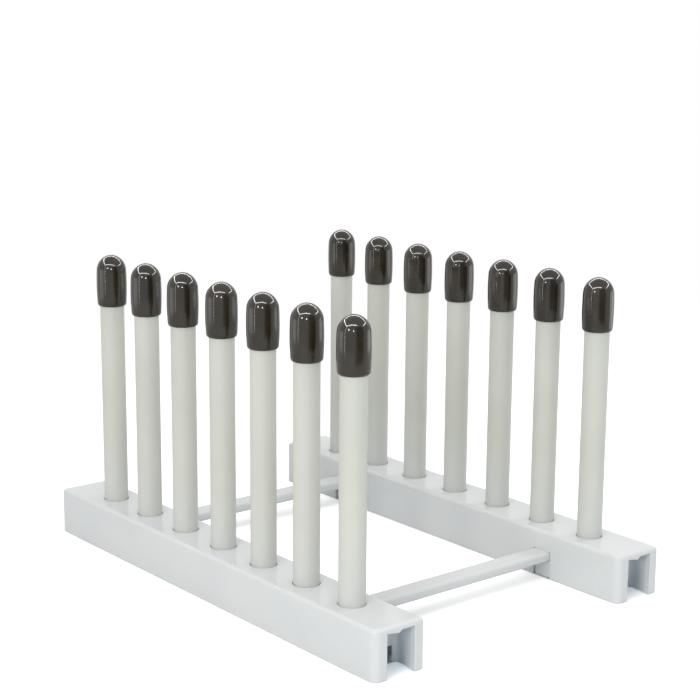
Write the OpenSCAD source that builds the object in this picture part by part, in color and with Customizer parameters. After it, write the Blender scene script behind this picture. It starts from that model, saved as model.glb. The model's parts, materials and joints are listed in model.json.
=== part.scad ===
// Record display stand: two open-bottomed channel rails joined by two flat cross bars.
// Each rail carries a row of upright tube posts with soft push-on caps, and a disc
// stands in each gap between neighbouring posts, resting on the rails' inner edges.
// Millimetres. Origin: bottom centre of the stand, on the table. X runs across the
// rails, Y along them (front is -Y) and Z up.

/* [Layout] */
// Number of posts on each rail
post_count = 7; // [3:1:12]
// Distance between neighbouring posts, centre to centre
post_pitch = 21.2; // [19:0.2:40]
// Distance from the centre of an end post to the end of its rail
end_reach = 20.9; // [17:0.1:40]
// Distance between the centre lines of the two rails
rail_spacing = 98.4; // [60:0.2:250]

/* [Rails] */
// Width of a rail
rail_w = 18; // [16:0.5:30]
// Height of a rail
rail_h = 15.5; // [14:0.5:30]
// Thickness of a rail's side walls
side_wall = 2.4; // [1.6:0.1:3]
// Thickness of a rail's top
top_wall = 1.8; // [1.4:0.1:3]
// Radius of a rail's two rounded upright corners
corner_r = 2.5; // [2:0.1:5]
// Radius of the other two upright corners, which are nearly sharp
edge_r = 0.5; // [0.2:0.1:1]
// Radius along a rail's top edges
top_edge_r = 1.2; // [0.4:0.1:1.6]
// Radius of the upright corners inside a rail
inner_corner_r = 1.5; // [0.5:0.1:3]

/* [Rail ends] */
// Thickness of a rail's end wall
end_wall = 1.6; // [1:0.1:3]
// Width of the open mouth in a rail's end wall
mouth_w = 10.1; // [5:0.1:11]
// Distance of the mouth's middle from the middle of the rail
mouth_shift = 0.7; // [0:0.1:1]
// Distance from a rail's end to the rib behind the mouth
pocket_depth = 9; // [7:0.1:11]
// Distance from a rail's end over which the wall beside the mouth thins
taper_len = 6.5; // [3:0.1:8]
// Thickness of the rib behind the mouth
rib_t = 1.4; // [0.8:0.1:2.5]
// Width of the window at the foot of the rib
window_w = 9; // [4:0.1:11]
// Height of the window at the foot of the rib
window_h = 5.3; // [2:0.1:10]
// Length of the sloping nib that hangs from the mouth's top edge
nib_w = 5.4; // [2:0.1:6]
// How far the nib hangs below the mouth's top edge
nib_drop = 0.75; // [0.3:0.05:1.5]

/* [Post sockets] */
// Gap between a post and its socket, all round
post_gap = 0.1; // [0.05:0.01:0.2]
// Thickness of a socket's wall
socket_wall = 1.3; // [0.8:0.1:2]
// Thickness of a socket's floor, on which the post stands
socket_floor = 1.6; // [1:0.1:3]
// Height of a socket's underside above the table
socket_foot = 1.2; // [0.5:0.1:3]
// Chamfer round the mouth of a socket
socket_chamfer = 0.35; // [0.1:0.05:0.6]
// Thickness of the webs that tie the sockets to the side walls
web_t = 1.2; // [0.8:0.1:2.5]

/* [Posts] */
// Outside diameter of a post
post_d = 8; // [5:0.1:9]
// Wall thickness of a post's tube
post_wall = 1.2; // [0.6:0.1:2]
// Length of a post
post_len = 91.5; // [60:0.5:200]

/* [Caps] */
// Gap between a cap's bore and its post, all round
cap_gap = 0.05; // [0.02:0.01:0.1]
// Thickness of a cap's side wall
cap_wall = 0.95; // [0.6:0.05:2]
// Overall length of a cap
cap_len = 17; // [12:0.5:30]
// Height of a cap's domed end, measured from the post's top
dome_h = 5.2; // [3:0.1:7]
// Thickness of a cap at the tip of its dome
tip_wall = 1.5; // [0.8:0.1:2.5]
// Width of the ledge inside a cap that meets the post's end
cap_ledge = 0.85; // [0.4:0.05:1.5]
// Height of the rounding on a cap's lower rim
rim_h = 1.6; // [0.5:0.1:3]

/* [Cross bars] */
// Width of a cross bar, along the rails
bar_w = 7.2; // [5:0.1:9]
// Thickness of a cross bar
bar_t = 3.3; // [2:0.1:5]
// Height of a cross bar's top face above the table
bar_top = 9.2; // [7:0.1:11]
// Gap at each side of a cross bar's key in its slot
key_gap = 0.15; // [0.05:0.05:0.3]
// Height of a key's lower end above the table
key_foot = 0.4; // [0.2:0.1:1.5]
// How far a key is set back from the rail's inner face
key_recess = 0.3; // [0:0.1:1]
// Thickness of the flange behind the rail's wall
flange_t = 1.6; // [1:0.1:2]
// How far the flange reaches past the key, at each side and above
flange_reach = 1.4; // [0.6:0.1:2]

/* [Hidden] */
SIDES = ["left", "right"];
$fn = 72;

// Overshoot that carries a cut clear through, or seats a rib well into a wall
over = 0.5;
// Steps that draw the dome and the rim of a cap
arc_steps = 9;
// Exponent that draws the dome in towards a blunt cone
dome_power = 1.1;
// Least thickness of the wedge beside a mouth
wedge_min = 0.3;
// Shares of the nib's length at which its slope ends and its heel begins
nib_slope_end = 0.78;
nib_heel = 0.88;
// Share of the nib's drop that is left at its heel
nib_heel_drop = 0.55;

row_len = (post_count - 1) * post_pitch;
rail_len = row_len + 2 * end_reach;
ceiling_z = rail_h - top_wall;
inner_w = rail_w - 2 * side_wall;
// The mouth reaches further towards the nearly sharp corner, but stays inside the wall there
mouth_right = min(mouth_shift + mouth_w / 2, inner_w / 2 - wedge_min);
mouth_left = max(mouth_shift - mouth_w / 2, wedge_min - inner_w / 2);

seat_z = socket_foot + socket_floor;
socket_bore_r = post_d / 2 + post_gap;
socket_r = socket_bore_r + socket_wall;
post_top_z = seat_z + post_len;

cap_bore_r = post_d / 2 + cap_gap;
cap_r = cap_bore_r + cap_wall;

inner_face_x = rail_spacing / 2 - rail_w / 2;
slot_w = bar_w + 2 * key_gap;
flange_w = bar_w + 2 * flange_reach;
// The bars lie against the second socket from each end
bar_y = row_len / 2 - post_pitch + socket_r + key_gap + bar_w / 2;

light_grey = [0.82, 0.83, 0.83];
warm_grey = [0.80, 0.81, 0.78];
charcoal = [0.17, 0.15, 0.14];

// Middle of a rail, left or right
function rail_x(side) = side == "left" ? -rail_spacing / 2 : rail_spacing / 2;

// Place of post i along the rails, counted from the front
function post_y(i) = (i - 1) * post_pitch - row_len / 2;

// Outline of a block with both top edges rounded, standing on the X axis
module round_topped(w) {
  translate([-w / 2, 0]) square([w, rail_h - top_edge_r]);
  translate([top_edge_r - w / 2, 0]) square([w - 2 * top_edge_r, rail_h]);
  for (side = [-1, 1])
    translate([side * (w / 2 - top_edge_r), rail_h - top_edge_r]) circle(r = top_edge_r);
}

// Half outline of a rail's upright corner, with the top edge rounded
module corner_half() {
  square([corner_r, rail_h - top_edge_r]);
  square([corner_r - top_edge_r, rail_h]);
  translate([corner_r - top_edge_r, rail_h - top_edge_r]) circle(r = top_edge_r);
}

// Plan of the nearly sharp corner, seen from above, with its outer corner at the origin
module sharp_corner_plan() {
  reach = corner_r + over;
  translate([-reach, edge_r]) square([reach, reach - edge_r]);
  translate([-reach, 0]) square([reach - edge_r, reach]);
  translate([-edge_r, edge_r]) circle(r = edge_r);
}

// Nearly sharp corner at the front of a rail's +X wall
module sharp_corner() {
  intersection() {
    translate([0, rail_len / 2, 0]) rotate([90, 0, 0]) linear_extrude(rail_len) round_topped(rail_w);
    translate([-rail_w / 2, 0, 0]) rotate([90, 0, 90]) linear_extrude(rail_w) round_topped(rail_len);
    translate([rail_w / 2, -rail_len / 2, 0]) linear_extrude(rail_h) sharp_corner_plan();
  }
}

// Outside of a rail as a solid block
module rail_block() {
  translate([0, rail_len / 2 - corner_r, 0])
    rotate([90, 0, 0]) linear_extrude(rail_len - 2 * corner_r) round_topped(rail_w);
  translate([corner_r - rail_w / 2, 0, 0])
    rotate([90, 0, 90]) linear_extrude(rail_w - 2 * corner_r) round_topped(rail_len);
  for (turn = [0, 180])
    rotate(turn) {
      translate([corner_r - rail_w / 2, corner_r - rail_len / 2, 0]) rotate_extrude() corner_half();
      sharp_corner();
    }
}

// Plan of the space inside a rail
module cavity_plan() {
  inner_len = rail_len - 2 * end_wall;
  square([inner_w - 2 * inner_corner_r, inner_len], center = true);
  square([inner_w, inner_len - 2 * inner_corner_r], center = true);
  for (x = [-1, 1], y = [-1, 1])
    translate([x * (inner_w / 2 - inner_corner_r), y * (inner_len / 2 - inner_corner_r)])
      circle(r = inner_corner_r);
}

// One socket with the web that ties it to both side walls
module socket(y) {
  translate([0, y, socket_foot]) cylinder(r = socket_r, h = ceiling_z - socket_foot + over);
  translate([-inner_w / 2 - over, y - web_t / 2, socket_foot])
    cube([inner_w + 2 * over, web_t, ceiling_z - socket_foot + over]);
}

// Plan of the web that rounds a corner of the pocket, its corner at the origin
module corner_web_plan() {
  difference() {
    translate([-over, -over]) square([inner_corner_r + over, inner_corner_r + over]);
    translate([inner_corner_r, inner_corner_r]) circle(r = inner_corner_r);
  }
}

// Rib that closes the pocket at the front end, above its window
module pocket_rib() {
  difference() {
    union() {
      translate([-inner_w / 2 - over, pocket_depth - rail_len / 2, 0])
        cube([inner_w + 2 * over, rib_t, ceiling_z + over]);
      translate([inner_w / 2, pocket_depth - rail_len / 2, 0])
        rotate(180) linear_extrude(ceiling_z + over) corner_web_plan();
    }
    translate([-window_w / 2, pocket_depth - rail_len / 2 - over, -over])
      cube([window_w, rib_t + 2 * over, window_h + over]);
  }
}

// Wedge that thickens the wall beside the mouth
module mouth_wedge() {
  linear_extrude(ceiling_z + over) polygon([
    [mouth_right, end_wall - over - rail_len / 2],
    [inner_w / 2 + over, end_wall - over - rail_len / 2],
    [inner_w / 2 + over, taper_len - rail_len / 2],
    [inner_w / 2, taper_len - rail_len / 2],
    [mouth_right, end_wall - rail_len / 2]
  ]);
}

// Outline of the open mouth, seen from the end, with the nib sloping down along its top edge
module mouth_outline() {
  polygon([
    [mouth_left, -over],
    [mouth_right, -over],
    [mouth_right, ceiling_z],
    [mouth_left + nib_w, ceiling_z],
    [mouth_left + nib_heel * nib_w, ceiling_z - nib_heel_drop * nib_drop],
    [mouth_left + nib_slope_end * nib_w, ceiling_z - nib_drop],
    [mouth_left, ceiling_z]
  ]);
}

// Open mouth in the front end wall
module mouth() {
  translate([0, end_wall + 0.5 * over - rail_len / 2, 0])
    rotate([90, 0, 0]) linear_extrude(end_wall + over) mouth_outline();
}

// Bore of one socket, with its chamfered mouth
module socket_bore(y) {
  translate([0, y, seat_z]) cylinder(r = socket_bore_r, h = rail_h - seat_z + over);
  translate([0, y, rail_h - socket_chamfer])
    cylinder(r1 = socket_bore_r, r2 = socket_bore_r + 2 * socket_chamfer, h = 2 * socket_chamfer);
}

// A rail on its own centre line, with its slotted inner wall towards +X
module rail() {
  difference() {
    union() {
      difference() {
        rail_block();
        translate([0, 0, -over]) linear_extrude(ceiling_z + over) cavity_plan();
      }
      for (i = [1:post_count]) socket(post_y(i));
      for (turn = [0, 180])
        rotate(turn) {
          pocket_rib();
          mouth_wedge();
        }
    }
    for (i = [1:post_count]) socket_bore(post_y(i));
    for (turn = [0, 180]) rotate(turn) mouth();
    for (side = [-1, 1])
      translate([inner_w / 2 - over, side * bar_y - slot_w / 2, -over])
        cube([side_wall + 2 * over, slot_w, bar_top + over]);
  }
}

module left_rail() {
  color(light_grey) translate([rail_x("left"), 0, 0]) rail();
}

module right_rail() {
  color(light_grey) translate([rail_x("right"), 0, 0]) rotate(180) rail();
}

// Key and flange on the +X end of a cross bar
module bar_key() {
  key_in = inner_face_x + key_recess;
  flange_x = inner_face_x + side_wall + key_gap;
  translate([key_in, -bar_w / 2, key_foot]) cube([flange_x - key_in, bar_w, bar_top - key_foot]);
  translate([flange_x, -flange_w / 2, key_foot])
    cube([flange_t, flange_w, bar_top + flange_reach - key_foot]);
}

// Flat cross bar with a key at each end that slides up into a rail's slot
module cross_bar() {
  strip_reach = inner_face_x + side_wall;
  translate([-strip_reach, -bar_w / 2, bar_top - bar_t]) cube([2 * strip_reach, bar_w, bar_t]);
  for (turn = [0, 180]) rotate(turn) bar_key();
}

module front_cross_bar() {
  color(light_grey) translate([0, -bar_y, 0]) cross_bar();
}

module rear_cross_bar() {
  color(light_grey) translate([0, bar_y, 0]) cross_bar();
}

// Upright tube that stands on its socket's floor
module post(side, i) {
  color(warm_grey) translate([rail_x(side), post_y(i), seat_z])
    difference() {
      cylinder(r = post_d / 2, h = post_len);
      translate([0, 0, -over]) cylinder(r = post_d / 2 - post_wall, h = post_len + 2 * over);
    }
}

// Half outline of a cap: rounded lower rim, straight side and blunt conical dome
module cap_outline() {
  side_top = cap_len - dome_h;
  rim = [for (k = [0:arc_steps]) let (a = 90 * k / arc_steps)
    [cap_bore_r + cap_wall * sin(a), rim_h * (1 - cos(a))]];
  dome = [for (k = [0:arc_steps]) let (a = 90 * k / arc_steps)
    [cap_r * pow(cos(a), dome_power), side_top + dome_h * sin(a)]];
  polygon(concat([[0, 0]], rim, dome));
}

// Half outline of the air space over the post's end, under the dome
module dome_space_outline() {
  space_r = cap_bore_r - cap_ledge;
  space_h = dome_h - tip_wall;
  arch = [for (k = [0:arc_steps]) let (a = 90 * k / arc_steps) [space_r * cos(a), space_h * sin(a)]];
  polygon(concat([[0, -over], [space_r, -over]], arch));
}

// Soft cap pushed over a post's end, its ledge down on the tube
module cap(side, i) {
  color(charcoal) translate([rail_x(side), post_y(i), post_top_z + dome_h - cap_len])
    difference() {
      rotate_extrude() cap_outline();
      translate([0, 0, -over]) cylinder(r = cap_bore_r, h = cap_len - dome_h + over);
      translate([0, 0, cap_len - dome_h]) rotate_extrude() dome_space_outline();
    }
}

left_rail();
right_rail();
front_cross_bar();
rear_cross_bar();
for (side = SIDES, i = [1:post_count]) {
  post(side, i);
  cap(side, i);
}
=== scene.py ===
"""Record display stand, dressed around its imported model.

Two moulded channel rails are tied together by two cross bars. Each rail carries seven
tube posts with soft caps. Everything is in metres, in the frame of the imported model:
X runs across the rails, Y along them with the front at -Y, and Z is up.
"""

import json
import logging
import math
from collections.abc import Callable, Sequence
from dataclasses import dataclass, field
from enum import Enum

import bmesh
import bpy
from mathutils import Matrix, Vector

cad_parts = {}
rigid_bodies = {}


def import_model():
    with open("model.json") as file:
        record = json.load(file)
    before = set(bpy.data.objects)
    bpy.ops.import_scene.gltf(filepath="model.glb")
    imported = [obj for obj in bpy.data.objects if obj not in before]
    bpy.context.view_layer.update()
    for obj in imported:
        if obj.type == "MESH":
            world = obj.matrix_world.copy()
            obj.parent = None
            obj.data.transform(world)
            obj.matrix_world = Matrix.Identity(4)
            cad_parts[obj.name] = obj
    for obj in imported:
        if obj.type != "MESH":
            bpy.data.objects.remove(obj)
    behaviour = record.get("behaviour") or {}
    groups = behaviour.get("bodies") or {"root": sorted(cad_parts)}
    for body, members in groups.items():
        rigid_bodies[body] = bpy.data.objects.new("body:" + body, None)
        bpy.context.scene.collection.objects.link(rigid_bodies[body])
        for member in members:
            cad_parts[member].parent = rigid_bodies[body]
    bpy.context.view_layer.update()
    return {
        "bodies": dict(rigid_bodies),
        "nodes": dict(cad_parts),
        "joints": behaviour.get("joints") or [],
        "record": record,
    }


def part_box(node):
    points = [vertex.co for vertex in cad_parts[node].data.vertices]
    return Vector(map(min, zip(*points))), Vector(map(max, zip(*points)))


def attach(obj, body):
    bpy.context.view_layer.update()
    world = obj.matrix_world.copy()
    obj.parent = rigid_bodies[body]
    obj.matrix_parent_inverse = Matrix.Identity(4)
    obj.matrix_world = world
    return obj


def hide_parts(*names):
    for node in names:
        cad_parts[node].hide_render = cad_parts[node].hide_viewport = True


LOG = logging.getLogger("record_stand")

MM = 0.001
# Distance within which two places count as the same one
NEAR = 0.01 * MM
# Points closer than this are merged
MERGE = NEAR / 10
# Profile of a bevel that is part of a circle
ROUND = 0.5
# How far a cutting or joining solid reaches past the face it cuts or joins
OVER = 0.5 * MM
# Edges that turn by less than this are shaded smooth
SMOOTH_ANGLE = math.radians(32)
# Faces across the rounding of an opening that a flared solid cuts
FLARE_STEPS = 3

Piece = bpy.types.Object
Material = bpy.types.Material
Socket = bpy.types.NodeSocket
Inputs = dict[str | int, object]
Place = Callable[[Vector], bool]
Ring = tuple[float, float]
Span = tuple[float, float]
Colour = tuple[float, float, float]

WHITE: Colour = (1.0, 1.0, 1.0)
WARM: Colour = (1.0, 0.99, 0.96)
COOL: Colour = (0.80, 0.92, 1.0)
# Span of a ramp that takes up a whole mask
WHOLE: Span = (0.0, 1.0)


class Part(Enum):
    """Kind of mesh part that an edit works on."""

    POINT = "VERT"
    EDGE = "EDGE"
    FACE = "FACE"


class Join(Enum):
    """How one solid is combined with another."""

    ADD = "UNION"
    CUT = "DIFFERENCE"


class Slot(Enum):
    """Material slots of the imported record."""

    RAIL = "rail"
    CROSS_BAR = "cross_bar"
    POST = "post"
    CAP = "cap"


class Side(Enum):
    """The two rails, by their side of the stand."""

    LEFT = "left"
    RIGHT = "right"


# Workbench: object mode


def clear_selection() -> None:
    """Leave edit mode and deselect every object."""
    if bpy.context.mode != "OBJECT":
        bpy.ops.object.mode_set(mode="OBJECT")
    bpy.ops.object.select_all(action="DESELECT")


def select_only(piece: Piece) -> None:
    """Make one object the only selected and active one."""
    clear_selection()
    piece.select_set(True)
    bpy.context.view_layer.objects.active = piece


def settle(piece: Piece) -> Piece:
    """Put an object's place, turn and scale into its mesh, and return it."""
    select_only(piece)
    bpy.ops.object.transform_apply(location=True, rotation=True, scale=True)
    return piece


def named(piece: Piece, name: str) -> Piece:
    """Name an object and its mesh, and return it."""
    piece.name = name
    piece.data.name = name
    return piece


def block(name: str, low: Sequence[float], high: Sequence[float]) -> Piece:
    """Add a block between two corners.

    Args:
        name: Name of the block.
        low: Lowest corner.
        high: Highest corner.

    Returns:
        The block, with its place in its mesh.
    """
    low, high = Vector(low), Vector(high)
    clear_selection()
    bpy.ops.mesh.primitive_cube_add(size=1, location=(low + high) / 2)
    piece = named(bpy.context.active_object, name)
    piece.scale = high - low
    return settle(piece)


def turned_solid(name: str, rings: Sequence[Ring], sides: int) -> Piece:
    """Draw a closed round solid about Z by extruding and resizing a disc, ring by ring.

    Args:
        name: Name of the solid.
        rings: Radius and height of each ring, in order along the outline.
        sides: Number of sides of each ring.

    Returns:
        The solid, closed by a flat face at each end of the outline.
    """
    radius, height = rings[0]
    clear_selection()
    bpy.ops.mesh.primitive_circle_add(
        vertices=sides, radius=radius, fill_type="NGON", location=(0, 0, height)
    )
    piece = settle(named(bpy.context.active_object, name))
    bpy.ops.object.mode_set(mode="EDIT")
    bpy.ops.mesh.select_mode(type=Part.FACE.value)
    bpy.ops.mesh.select_all(action="SELECT")
    for (old_radius, old_height), (radius, height) in zip(rings, rings[1:]):
        growth = radius / old_radius
        bpy.ops.mesh.extrude_region_move(TRANSFORM_OT_translate={"value": (0, 0, height - old_height)})
        bpy.ops.transform.resize(value=(growth, growth, 1), center_override=(0, 0, height))
    face_outwards(piece)
    return piece


def quarter_arc(steps: int) -> list[Ring]:
    """Return how far a quarter circle moves out and along by each step, as shares of its radius."""
    angles = [math.pi / 2 * step / steps for step in range(1, steps + 1)]
    return [(1 - math.cos(angle), math.sin(angle)) for angle in angles]


def combine(piece: Piece, tool: Piece, join: Join) -> None:
    """Add a solid to a piece or cut it away, and remove the solid."""
    modifier = piece.modifiers.new(tool.name, "BOOLEAN")
    modifier.operation = join.value
    modifier.object = tool
    modifier.solver = "EXACT"
    select_only(piece)
    bpy.ops.object.modifier_apply(modifier=modifier.name)
    bpy.data.objects.remove(tool)


def repeat(piece: Piece, count: int, step: Sequence[float]) -> Piece:
    """Repeat a mesh in a straight row.

    Args:
        piece: Object whose mesh is repeated.
        count: Number of repeats, the first included.
        step: Move from one to the next.

    Returns:
        The same object, holding all of them.
    """
    modifier = piece.modifiers.new("row", "ARRAY")
    modifier.count = count
    modifier.use_relative_offset = False
    modifier.use_constant_offset = True
    modifier.constant_offset_displace = step
    select_only(piece)
    bpy.ops.object.modifier_apply(modifier=modifier.name)
    return piece


def half_turn(piece: Piece) -> Piece:
    """Turn an object half round about Z, through the origin, and return it."""
    piece.matrix_world = Matrix.Rotation(math.pi, 4, "Z") @ piece.matrix_world
    return settle(piece)


def moved(piece: Piece, step: Sequence[float]) -> Piece:
    """Move an object, put its place into its mesh, and return it."""
    piece.location = Vector(step)
    return settle(piece)


def duplicate(piece: Piece, name: str) -> Piece:
    """Copy an object with a mesh of its own, and return the copy."""
    select_only(piece)
    bpy.ops.object.duplicate(linked=False)
    return named(bpy.context.active_object, name)


def smooth(piece: Piece, angle: float = SMOOTH_ANGLE) -> None:
    """Shade a piece smooth up to an angle, with flat faces kept flat beside rounded edges.

    Args:
        piece: Finished piece.
        angle: Edges that turn by more than this stay sharp.
    """
    select_only(piece)
    bpy.ops.object.shade_smooth_by_angle(angle=angle)
    modifier = piece.modifiers.new("flat_faces", "WEIGHTED_NORMAL")
    modifier.keep_sharp = True
    bpy.ops.object.modifier_apply(modifier=modifier.name)


# Workbench: edit mode


def pick(piece: Piece, part: Part, place: Place) -> int:
    """Select the points, edges or faces that pass a test of place.

    Args:
        piece: Object in edit mode or object mode; it is left in edit mode.
        part: What is selected.
        place: Test of a point, of both ends of an edge, or of a face's middle.

    Returns:
        How many were selected.
    """
    if bpy.context.mode == "OBJECT":
        select_only(piece)
        bpy.ops.object.mode_set(mode="EDIT")
    bpy.ops.mesh.select_mode(type=part.value)
    bpy.ops.mesh.select_all(action="DESELECT")
    shape = bmesh.from_edit_mesh(piece.data)
    if part is Part.POINT:
        found = [point for point in shape.verts if place(point.co)]
    elif part is Part.EDGE:
        found = [edge for edge in shape.edges if all(place(end.co) for end in edge.verts)]
    else:
        found = [face for face in shape.faces if place(face.calc_center_median())]
    for one in found:
        one.select_set(True)
    bmesh.update_edit_mesh(piece.data)
    return len(found)


def round_edges(piece: Piece, place: Place, radius: float, steps: int) -> None:
    """Round the edges whose two ends pass a test.

    Args:
        piece: Object whose edges are rounded.
        place: Test of one point.
        radius: Radius of the rounding.
        steps: Number of faces across the rounding.
    """
    if pick(piece, Part.EDGE, place):
        bpy.ops.mesh.bevel(
            offset=radius, segments=steps, profile=ROUND, affect="EDGES", clamp_overlap=False
        )
    bpy.ops.object.mode_set(mode="OBJECT")


def shift_points(piece: Piece, place: Place, step: Sequence[float]) -> None:
    """Move the points that pass a test."""
    if pick(piece, Part.POINT, place):
        bpy.ops.transform.translate(value=step)
    bpy.ops.object.mode_set(mode="OBJECT")


def slice_along(piece: Piece, point: Sequence[float], normal: Sequence[float]) -> None:
    """Cut a line of new edges round a mesh, where a plane crosses it."""
    pick(piece, Part.FACE, lambda _: True)
    bpy.ops.mesh.bisect(plane_co=point, plane_no=normal)
    bpy.ops.object.mode_set(mode="OBJECT")


def flare_face(
    piece: Piece, place: Place, outward: Vector, centre: Vector, half: Vector, radius: float
) -> None:
    """Widen a cutting solid's end, so that the opening that it cuts gets a rounded edge.

    Args:
        piece: Cutting solid.
        place: Test that finds the face at its end.
        outward: Direction out of that face.
        centre: Point about which the face grows.
        half: Half the face's size each way, which grows by the radius; zero to keep it.
        radius: Radius of the rounded edge.
    """
    pick(piece, Part.FACE, place)
    grown, depth = 0.0, 0.0
    for out, along in quarter_arc(FLARE_STEPS):
        new_grown, new_depth = radius * out, radius * along
        bpy.ops.mesh.extrude_region_move(TRANSFORM_OT_translate={"value": outward * (new_depth - depth)})
        growth = [(size + new_grown) / (size + grown) if size else 1 for size in half]
        bpy.ops.transform.resize(value=growth, center_override=centre)
        grown, depth = new_grown, new_depth
    bpy.ops.mesh.extrude_region_move(TRANSFORM_OT_translate={"value": outward * OVER})
    face_outwards(piece)


def close_pole(piece: Piece, height: float) -> None:
    """Draw the flat end face at a height together into one point on the axis."""
    pick(piece, Part.FACE, lambda point: abs(point.z - height) < NEAR)
    bpy.ops.mesh.merge(type="CENTER")
    bpy.ops.object.mode_set(mode="OBJECT")


def face_outwards(piece: Piece) -> None:
    """Merge doubled points and turn every face outwards, then leave edit mode."""
    pick(piece, Part.FACE, lambda _: True)
    bpy.ops.mesh.remove_doubles(threshold=MERGE)
    bpy.ops.mesh.normals_make_consistent(inside=False)
    bpy.ops.object.mode_set(mode="OBJECT")


# Shader workbench


class Wiring:
    """Adds and links nodes in one shader tree."""

    def __init__(self, tree: bpy.types.NodeTree) -> None:
        """Keep the tree that the nodes go into."""
        self.tree = tree

    def link(self, output: Socket, target: Socket) -> None:
        """Link an output to an input."""
        self.tree.links.new(output, target)

    def add(self, kind: str, inputs: Inputs | None = None, **settings: object) -> bpy.types.Node:
        """Add a node.

        Args:
            kind: Blender's name of the node type.
            inputs: Value, or output to link, of each input socket.
            settings: The node's own settings.

        Returns:
            The new node.
        """
        node = self.tree.nodes.new(kind)
        for name, setting in settings.items():
            setattr(node, name, setting)
        for name, value in (inputs or {}).items():
            if isinstance(value, Socket):
                self.link(value, node.inputs[name])
            else:
                node.inputs[name].default_value = value
        return node

    def position(self) -> Socket:
        """Return the place on the piece, in its own coordinates."""
        return self.add("ShaderNodeTexCoord").outputs["Object"]

    def split(self, vector: Socket) -> tuple[Socket, Socket, Socket]:
        """Split a vector and return its X, Y and Z."""
        return tuple(self.add("ShaderNodeSeparateXYZ", {0: vector}).outputs)

    def math(self, operation: str, first: object, second: object = 0.0) -> Socket:
        """Add a math node and return its output."""
        return self.add("ShaderNodeMath", {0: first, 1: second}, operation=operation).outputs[0]

    def vector_math(self, operation: str, *vectors: object) -> Socket:
        """Add a vector math node and return its vector."""
        inputs = dict(enumerate(vectors))
        return self.add("ShaderNodeVectorMath", inputs, operation=operation).outputs["Vector"]

    def chain(self, operation: str, first: object, *others: object) -> Socket:
        """Join several values by one operation, in order, and return the result."""
        for other in others:
            first = self.math(operation, first, other)
        return first

    def ramp(self, value: Socket, span: Span, low: float = 0.0, high: float = 1.0) -> Socket:
        """Map a value smoothly from one range to another.

        Args:
            value: Output to map.
            span: Values at which the ramp begins and ends.
            low: Result at its beginning.
            high: Result at its end.

        Returns:
            The mapped output.
        """
        start, end = span
        inputs = {"Value": value, "From Min": start, "From Max": end, "To Min": low, "To Max": high}
        node = self.add("ShaderNodeMapRange", inputs, interpolation_type="SMOOTHSTEP")
        return node.outputs["Result"]

    def mix_colour(self, mask: Socket, first: object, second: object) -> Socket:
        """Mix two colours by a mask and return the result."""
        node = self.add("ShaderNodeMix", {0: mask, 6: first, 7: second}, data_type="RGBA")
        return node.outputs[2]

    def noise(self, vector: Socket, size: object, detail: float) -> Socket:
        """Add noise whose patches have about a given size in metres, and return its value."""
        scale = self.math("DIVIDE", 1.0, size)
        inputs = {"Vector": vector, "Scale": scale, "Detail": detail}
        return self.add("ShaderNodeTexNoise", inputs).outputs[0]

    def stretch(
        self, vector: Socket, scale: Sequence[float], turn: Sequence[float] = (0, 0, 0)
    ) -> Socket:
        """Turn and stretch coordinates, and return them."""
        inputs = {"Vector": vector, "Scale": scale, "Rotation": turn}
        return self.add("ShaderNodeMapping", inputs).outputs[0]


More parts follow.
